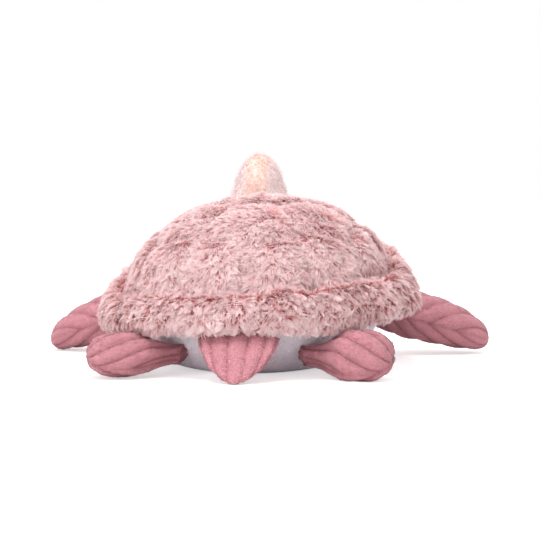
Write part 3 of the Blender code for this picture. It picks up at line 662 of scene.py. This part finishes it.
# wideAt and thickAt are shares of the length. The tip sweeps back and bends down. The ribs slant across
# the limb, and a fan of 1 closes them up with its width. Crown fills out the upper side, and the root
# reaches inward into the body
frontLimb = dict(
    root=13 * mm, length=146 * mm, width=78 * mm, thickness=51 * mm, wideAt=0.45, thickAt=0.42,
    sweep=15 * mm, crown=0, taper=2.6, inward=14 * mm,
    slant=-math.radians(35), fan=0.1, pitch=15 * mm, offset=0, depth=3.2 * mm,
    tone=-0.2, nap=22000, grid=(130, 130))
rearLimb = dict(
    root=9.5 * mm, length=86 * mm, width=64 * mm, thickness=36 * mm, wideAt=0.6, thickAt=0.52,
    sweep=4 * mm, bend=1 * mm, taper=2.7, inward=16 * mm,
    slant=math.radians(20), fan=0.8, pitch=15 * mm, offset=0, depth=3.4 * mm,
    tone=-0.2, nap=15000, grid=(90, 110))
tailLimb = dict(
    root=8 * mm, length=63 * mm, width=78 * mm, thickness=19 * mm, wideAt=0.1, thickAt=0.5,
    sweep=0, bend=0, crown=0, taper=1.6, inward=0,
    slant=0, fan=0.3, pitch=12 * mm, offset=0.5, depth=2.4 * mm,
    # painted light: the tail's higher tone makes its nap lighter than the flippers', as if it caught more
    # light
    tone=0.45, nap=12000, grid=(80, 110))
limbSeam = dict(depth=1.2 * mm, halfWidth=2.2 * mm)
ribRoundness = 0.6  # less is rounder
# painted shade: at the root the ribs' height, and so their colour, is cut to this share
rootShadeShare = 0.35  # the share of the ribs' colour there
lowest = 0.2 * mm  # of a limb's cloth
napSwirl = 25 * mm
nap = dict(
    stations=shortBends, length=2.2 * mm, width=0.8 * mm, rise=0.5, lay=0.1, lock=2.5 * mm, gather=0.2,
    swing=0.4, stray=0.4, loose=1, bow=0.1, twist=0.15, sink=0.3 * mm, patch=18 * mm, mottle=0.22)


def swell(along, limb, half, widest):
    # a ball at the root, a smooth rise to the widest place, then a rounded fall to the tip
    root = limb["root"]
    ball = root * np.sqrt(np.clip(1 - ((along + limb["inward"]) / root).clip(-1, 0) ** 2, 0, 1))
    rising = root + (half - root) * smooth(along / widest)
    toTip = np.clip((along - widest) / (limb["length"] - widest), 0, 1)
    falling = half * np.clip(1 - toTip ** limb["taper"], 0, 1) ** (1 / limb["taper"])
    return np.where(along <= 0, ball, np.where(along < widest, rising, falling))


def limbGrid(limb, hand, bodyward):
    # rows run from the root's pole to the tip, columns round the limb from its leading edge. Each row is an
    # ellipse, and the ribs are the rounded crests of a sine
    stations, columns = limb["grid"]
    length = limb["length"]
    half = limb["width"] / 2
    share = (1 - np.cos(np.linspace(0, math.pi, stations))) / 2
    start = limb["root"] + limb["inward"]
    along = (-start + (start + length) * share)[:, None]
    angle = roundSteps(columns)[None]
    halfWidth = swell(along, limb, half, limb["wideAt"] * length)
    halfDepth = swell(along, limb, limb["thickness"] / 2, limb["thickAt"] * length)
    lead = halfWidth * np.cos(angle)
    # even steps from one edge to the other, so that the ribs of both sides meet there in a point
    fromLead = 1 - np.abs(1 - angle / math.pi)
    even = halfWidth * (1 - 2 * fromLead)
    rise = halfDepth * np.sin(angle)
    rise += limb["crown"] * smooth((along / length - 0.12) / 0.4) * np.clip(rise, 0, None)
    # the ribs of a fanned limb close up where it narrows
    spread = limb["fan"] * halfWidth + (1 - limb["fan"]) * half
    across = along * math.sin(limb["slant"]) + even * math.cos(limb["slant"]) * half / spread
    height = np.abs(np.sin(math.pi * (across / limb["pitch"] + limb["offset"]))) ** ribRoundness
    seam = np.exp(-(halfDepth * np.abs(np.sin(angle)) / limbSeam["halfWidth"]) ** 2)
    near = smooth(halfDepth / limb["root"])  # the ribs and the seam fade where the limb comes to a pole
    sink = limb["depth"] * (1 - height) * near * (1 - 0.5 * seam) + limbSeam["depth"] * seam * near
    outward = np.clip(along / length, 0, None) ** 2
    sweep = limb["sweep"] * outward
    drop = limb["bend"] * outward
    # inside of the hinge the root turns to the body's middle, so that it ends in the body
    inside = np.clip(-along, 0, None)
    inner = (inside * smooth(inside / limb["root"]))[..., None] * (bodyward + np.array([1, 0, 0]))
    points = np.stack([along + 0 * rise, hand * (sweep - lead), rise - drop], -1) + inner
    middles = np.stack([along + 0 * rise, hand * sweep + 0 * lead, 0 * rise - drop], -1) + inner
    normals = gridNormals(points, middles)
    points = points - normals * sink[..., None]
    # the root's colour is darkened, painted shade where the limb goes into the body
    paintedRootShade = rootShadeShare + (1 - rootShadeShare) * smooth(along / (0.4 * length))
    return points, height * (1 - 0.4 * seam) * paintedRootShade


def limbTurn(heading, droop, tilt=0):
    # a turn about the upright axis, then in degrees about the limb's width and then about its length
    turn = Matrix.Rotation(heading, 4, "Z") @ Matrix.Rotation(math.radians(droop), 4, "Y")
    return turn @ Matrix.Rotation(math.radians(tilt), 4, "X")


def makeLimb(node, limb, hand, motion, turn):
    # the limb's cloth and its nap, turned and moved to its hinge
    hinge = Vector(joints[node + motion]["pos_m"])
    bodyward = turn.to_3x3().inverted() @ (Vector(middle) - hinge).normalized()
    points, height = limbGrid(limb, hand, np.array(bodyward))
    points = points @ np.array(turn.to_3x3()).T + np.array(hinge)
    points[..., 2] = np.maximum(points[..., 2], lowest)
    words = node.split("_")
    name = words[0] + "".join(word.title() for word in words[1:])
    made = facing(gridMesh(name + "Cloth", points, ribbedVelour), points.reshape(-1, 3).mean(0))
    normals = gridNormals(points, points.mean(1, keepdims=True))
    place, normal, toTip, rowShare, columnShare = scatter(points, normals, limb["nap"])
    row, column = (np.minimum((share * count).astype(int), count - 1)
                   for share, count in zip((rowShare, columnShare), limb["grid"]))
    flow = turnAbout(flatten(toTip, normal), normal, 0.6 * waves(place, napSwirl, 71))
    # painted shade: the nap darkens between the ribs and at the root; the tail's higher tone lightens it,
    # painted light
    shade = 1.2 * (1 - height[row, column]) ** 2.5 - 0.2 - limb["tone"]  # darker between the ribs
    pile = makePile(name + "Nap", place, normal, flow, nap, velourNap, 600 + len(node) + hand, shade)
    finishPiece(pile, node)
    heights = np.concatenate([height[:1].mean(1), height[1:-1].ravel(), height[-1:].mean(1)])
    setNumbers(made, "ribHeight", heights)
    finishPiece(made, node, [node + "_top", node + "_bottom", node + "_stuffing"])


# how the flippers lie, in degrees: the right front one further forward and less bent than the left, the
# right rear one tipped further and fuller on top
lie = dict(
    left=dict(hand=1, turned=0, forward=8, bend=30 * mm, rearTilt=21, crown=0),
    right=dict(hand=-1, turned=math.pi, forward=14, bend=25 * mm, rearTilt=28, crown=0.35),
    frontDroop=2, frontTilt=7, rearBack=16, rearDroop=-2, tailDroop=42,
)
for side in ("left", "right"):
    own = lie[side]
    hand = own["hand"]
    heading = own["turned"] - hand * math.radians(own["forward"])
    turn = limbTurn(heading, lie["frontDroop"], -hand * lie["frontTilt"])
    makeLimb(f"front_{side}_flipper", dict(frontLimb, bend=own["bend"]), hand, "_sweep", turn)
    heading = own["turned"] + hand * math.radians(lie["rearBack"])
    turn = limbTurn(heading, lie["rearDroop"], -hand * own["rearTilt"])
    makeLimb(f"rear_{side}_flipper", dict(rearLimb, crown=own["crown"]), hand, "_sweep", turn)
makeLimb("tail", tailLimb, 1, "_wag", limbTurn(math.pi / 2, lie["tailDroop"]))
print("limbs done")


# neck and head

head = dict(
    halfWidth=33 * mm, halfLength=46 * mm, halfHeight=46 * mm, grid=(90, 120),
    snout=0.2, crown=0.2, cheek=0.35,  # how much lower the snout and narrower the crown are, and from where
    gusset=34 * mm, shown=0.72, ragged=1.2 * mm,  # the pile of the sides falls unevenly over its edges
    # a crooked seam runs down the gusset, a little to the left of its middle
    seamAside=3 * mm, seamSway=1.2 * mm, seamPitch=6 * mm, seamWidth=1.1 * mm, seamShade=0.5,
    fall=(0, 0.5, -1), swirl=22 * mm,
    pile=dict(nap, length=2.4 * mm, patch=30 * mm, mottle=0.25),
    fuzz=dict(
        stations=shortBends, length=5.5 * mm, width=0.22 * mm, rise=1.1, lay=0.6, lock=5 * mm, gather=0.1,
        swing=0.5, stray=0.9, loose=1, bow=0.2, twist=0.5, sink=0.4 * mm, patch=30 * mm, mottle=0.3),
    count=27000, fuzzCount=9000,
)
headMiddle = np.array(joints["head_turn"]["pos_m"])
neckRoot = np.array(joints["neck_nod"]["pos_m"])


def headPoint(across, angle):
    # an egg in lengthwise slices: across is a slice's distance from the middle plane, and the angle runs
    # from the snout over the crown. Each slice is an ellipse that shrinks as its distance grows
    roundness = np.sqrt(np.clip(1 - (across / head["halfWidth"]) ** 2, 0, 1))
    along = -head["halfLength"] * np.cos(angle) * roundness
    height = head["halfHeight"] * np.sin(angle) * roundness
    snout = np.clip(-along / head["halfLength"], 0, None) ** 2
    crown = smooth((height / head["halfHeight"] + head["cheek"]) / (2 * head["cheek"]))
    narrowed = across * (1 - head["crown"] * crown)
    lowered = height * (1 - head["snout"] * snout)
    return np.stack([narrowed, along, lowered], -1) + headMiddle


headRows, headColumns = head["grid"]
headTurns = np.linspace(0, math.pi, headRows)
headAngles = roundSteps(headColumns)
headGrid = headPoint(-head["halfWidth"] * np.cos(headTurns)[:, None] + 0 * headAngles, headAngles[None])
headNormals = gridNormals(headGrid, headMiddle)
fuzzyBacking = backingMaterial("fuzzyBacking", "#F6E9E8", "#F3E4E3")
peachBacking = backingMaterial("peachBacking", "#F8E0D6", "#F6DACE")
headBase = facing(gridMesh("headCloth", headGrid, fuzzyBacking), headMiddle)
headBase.data.materials.append(peachBacking)
halfGusset = head["gusset"] / 2 * head["shown"]
isPeach = np.abs(faceValues(headBase, "center")[:, 0] - headMiddle[0]) < halfGusset
headBase.data.polygons.foreach_set("material_index", isPeach.astype(np.int32))
finishPiece(headBase, "head", ["head_left", "head_right", "head_gusset", "head_stuffing"])
place, normal, *_ = scatter(headGrid, headNormals, head["count"])
fall = flatten(np.array(head["fall"]), normal)
flow = turnAbout(fall, normal, 1.2 * waves(place, head["swirl"], 51))
ragged = random.normal(0, head["ragged"], len(place))
inGusset = np.abs(place[:, 0] - headMiddle[0] + ragged) < halfGusset
for name, mask, material, slot in (("headPile", ~inGusset, fuzzyPile, "fuzzy_plush"),
                                   ("gussetPile", inGusset, peachPile, "peach_plush")):
    sway = head["seamSway"] * np.sin(place[mask, 2] * math.tau / head["seamPitch"])
    crooked = headMiddle[0] - head["seamAside"] + sway
    line = head["seamShade"] * np.exp(-((place[mask, 0] - crooked) / head["seamWidth"]) ** 2)
    pile = makePile(name, place[mask], normal[mask], flow[mask], head["pile"], material,
                    400 + len(name), line)
    finishPiece(pile, "head")
sparse = slice(0, head["fuzzCount"])
pile = makePile("headFuzz", place[sparse], normal[sparse], flow[sparse], head["fuzz"], fuzzyPile, 450)
finishPiece(pile, "head")

# safety eyes: moulded black acrylic, smooth and glossy
eyeGloss, _, shader = newMaterial("mouldedBlackAcrylic")
setInputs(shader, {"Base Color": linear("#0D0C0E"), "Roughness": 0.12, "IOR": 1.49, "Coat Weight": 0.3})
for side in ("left", "right"):
    bpy.data.objects[side + "_eye"].material_slots[0].material = eyeGloss

# the face's stitches of twisted polyester thread, soft rose and a little shiny
thread, _, shader = newMaterial("rosePolyesterThread")
setInputs(shader, {"Base Color": linear("#A9606C"), "Roughness": 0.7})
face = dict(
    radius=0.9 * mm, proud=0.8 * mm,
    # each stitch as (mm across, degrees from the snout) along it
    lines=dict(leftNostril=((2.6, 12), (4.2, 15)), rightNostril=((-2.6, 12), (-4.2, 15)),
               mouth=((-9, -14), (-6, -19), (-3, -21.5), (0, -22), (3, -21.5), (6, -19), (9, -14))),
)


def rings(path, side, other, radius, columns):
    # a circle about each place of a path, in the plane of two directions
    angle = roundSteps(columns)[None, :, None]
    turned = side[:, None] * np.cos(angle) + other[:, None] * np.sin(angle)
    return path[:, None] + turned * radius[:, None, None]


def alongPath(path, radius, columns, spacing=0.5 * mm):
    # rings along a path that is first cut into even steps, with round ends
    reach = np.concatenate([[0], np.cumsum(np.linalg.norm(np.diff(path, axis=0), axis=1))])
    steps = np.linspace(0, reach[-1], max(8, int(reach[-1] / spacing)))
    path = np.stack([np.interp(steps, reach, path[:, k]) for k in range(3)], -1)
    ahead = unit(np.gradient(path, axis=0))
    side = flatten(np.array([0, 0.3, 1]), ahead)
    fromEnd = np.minimum(steps, reach[-1] - steps)
    thick = radius * np.sqrt(np.clip(1 - (1 - fromEnd / radius).clip(0, 1) ** 2, 0, 1))
    return rings(path, side, np.cross(ahead, side), thick, columns)


for name, line in face["lines"].items():
    line = np.array(line)
    fine = np.linspace(0, len(line) - 1, 60)
    across, turn = (np.interp(fine, np.arange(len(line)), line[:, k]) for k in range(2))
    path = headPoint(across * mm, np.radians(turn))
    path += unit(path - headMiddle) * face["proud"]
    stitch = facing(gridMesh(name + "Stitch", alongPath(path, face["radius"], 12), thread), path.mean(0))
    finishPiece(stitch, "head")  # the record lists no thread among its materials
print("face done")

neck = dict(
    root=28 * mm, top=26 * mm, reach=46 * mm, grid=(60, 80), count=10000, swirl=30 * mm,
    inside=(0, -30 * mm, 40 * mm),  # a place within it, from the hinge
    hidden=(30 * mm, 43 * mm, 43 * mm),  # half sizes of the egg within the head where it has no pile
)


def neckRings(rowCount, columnCount):
    # half a ball at the hinge, then rings square to a cubic Bezier curve that climbs to the head
    top = headMiddle - neckRoot
    corners = np.array([[0, 0, 0], [0, -neck["reach"], 0], [0, -neck["reach"], top[2] / 2], top])
    t = np.linspace(0, 1, rowCount)[:, None]
    path = ((1 - t) ** 3 * corners[0] + 3 * t * (1 - t) ** 2 * corners[1]
            + 3 * t * t * (1 - t) * corners[2] + t ** 3 * corners[3])
    ahead = unit(np.gradient(path, axis=0))
    ahead[0] = (0, -1, 0)
    backs = np.linspace(0.02, math.pi / 2, 16)[:-1]
    path = np.concatenate([np.stack([0 * backs, neck["root"] * np.cos(backs), 0 * backs], -1), path])
    ahead = np.concatenate([np.tile([0, -1, 0], (len(backs), 1)), ahead])
    tapered = neck["root"] + (neck["top"] - neck["root"]) * smooth(t[:, 0])
    radius = np.concatenate([neck["root"] * np.sin(backs), tapered])
    side = flatten(np.array([1, 0, 0]), ahead)
    points = rings(path, side, np.cross(side, ahead), radius, columnCount)
    return points + neckRoot, path[:, None] + neckRoot


neckGrid, neckMiddles = neckRings(*neck["grid"])
neckNormals = gridNormals(neckGrid, neckMiddles)
neckBase = facing(gridMesh("neckCloth", neckGrid, fuzzyBacking), neckRoot + np.array(neck["inside"]))
finishPiece(neckBase, "neck", ["neck_cover", "neck_stuffing"])
place, normal, *_ = scatter(neckGrid, neckNormals, neck["count"])
outside = (((place - headMiddle) / np.array(neck["hidden"])) ** 2).sum(-1) > 1
place, normal = place[outside], normal[outside]
flow = turnAbout(flatten(downward, normal), normal, 0.8 * waves(place, neck["swirl"], 61))
pile = makePile("neckPile", place, normal, flow, head["pile"], fuzzyPile, 500)
finishPiece(pile, "neck")
print("head done")


# floor, light and camera

# the camera stands behind the toy. Its focal length is in pixels of a picture this wide
view = dict(distance=2.2, azimuth=math.radians(185.7), elevation=math.radians(3.3),
            aim=(-0.01347, 0, 0.094), focal=2200, picture=540, sensor=36)
aim = Vector(view["aim"])
back = Vector((math.sin(view["azimuth"]) * math.cos(view["elevation"]),
               -math.cos(view["azimuth"]) * math.cos(view["elevation"]), math.sin(view["elevation"])))
cameraData = bpy.data.cameras.new("camera")
camera = addObject("camera", cameraData)
cameraData.sensor_width = view["sensor"]
cameraData.lens = view["sensor"] * view["focal"] / view["picture"]
camera.location = aim + back * view["distance"]
camera.rotation_euler = back.to_track_quat("Z", "Y").to_euler()
scene.camera = camera

studio = dict(floorHalf=6, floorGlow=0.5, softLight=0.68, whiteLight=1)
floorMesh = bpy.data.meshes.new("floor")
half = studio["floorHalf"]
corners = [(-half, -half, 0), (half, -half, 0), (half, half, 0), (-half, half, 0)]
floorMesh.from_pydata(corners, [], [(0, 1, 2, 3)])
floor = addObject("floor", floorMesh)
# a matt white table, lit up for the camera alone, so that it goes over into the white behind
floorMaterial, tree, shader = newMaterial("paleFloor")
setInputs(shader, {"Base Color": linear("#F4F3F2"), "Roughness": 0.9})
light = addNode(tree, "LightPath")
glow = addNode(tree, "Emission", {"Strength": studio["floorGlow"]})
both = addNode(tree, "AddShader", {0: shader.outputs[0], 1: glow.outputs[0]})
direct = addNode(tree, "MixShader", {
    0: light.outputs["Is Camera Ray"], 1: shader.outputs[0], 2: both.outputs[0]})
setInputs(tree.nodes["Material Output"], {"Surface": direct.outputs[0]})
floorMesh.materials.append(floorMaterial)

# the world is white where it is seen and softer where it lights the toy
world = bpy.data.worlds.new("studio")
scene.world = world
world.use_nodes = True
tree = world.node_tree
tree.nodes.clear()
light = addNode(tree, "LightPath")
seen = addNode(tree, "Math", {
    0: light.outputs["Is Camera Ray"], 1: light.outputs["Is Glossy Ray"]}, operation="MAXIMUM")
seen = addNode(tree, "Math", {
    0: seen.outputs[0], 1: light.outputs["Is Transmission Ray"]}, operation="MAXIMUM")
soft = addNode(tree, "Background", {"Color": (1, 1, 1, 1), "Strength": studio["softLight"]})
white = addNode(tree, "Background", {"Color": (1, 1, 1, 1), "Strength": studio["whiteLight"]})
mixed = addNode(tree, "MixShader", {0: seen.outputs[0], 1: soft.outputs[0], 2: white.outputs[0]})
addNode(tree, "OutputWorld", {"Surface": mixed.outputs[0]})

# each lamp's place in metres and its power in watts
lamps = dict(topLamp=((0.3, 0.4, 2.2), 41), keyLamp=((0.9, 2.3, 1.1), 14), farLamp=((-0.9, -2.3, 1.1), 12))
lampSize = 1.2
lampAim = Vector((0, 0, 0.08))  # the toy's middle
for name, (place, power) in lamps.items():
    data = bpy.data.lights.new(name, "AREA")
    data.shape = "DISK"
    data.size = lampSize
    data.energy = power
    lamp = addObject(name, data)
    lamp.location = place
    lamp.rotation_euler = (Vector(place) - lampAim).to_track_quat("Z", "Y").to_euler()

scene.view_settings.view_transform = "Standard"
scene.cycles.diffuse_bounces = 12  # light turns many times between pale fibres
triangles = [(len(item.data.loops) - 2 * len(item.data.polygons), item.name)
             for item in bpy.data.objects if item.type == "MESH"]
print("triangles", sum(count for count, _ in triangles), "largest", max(triangles))
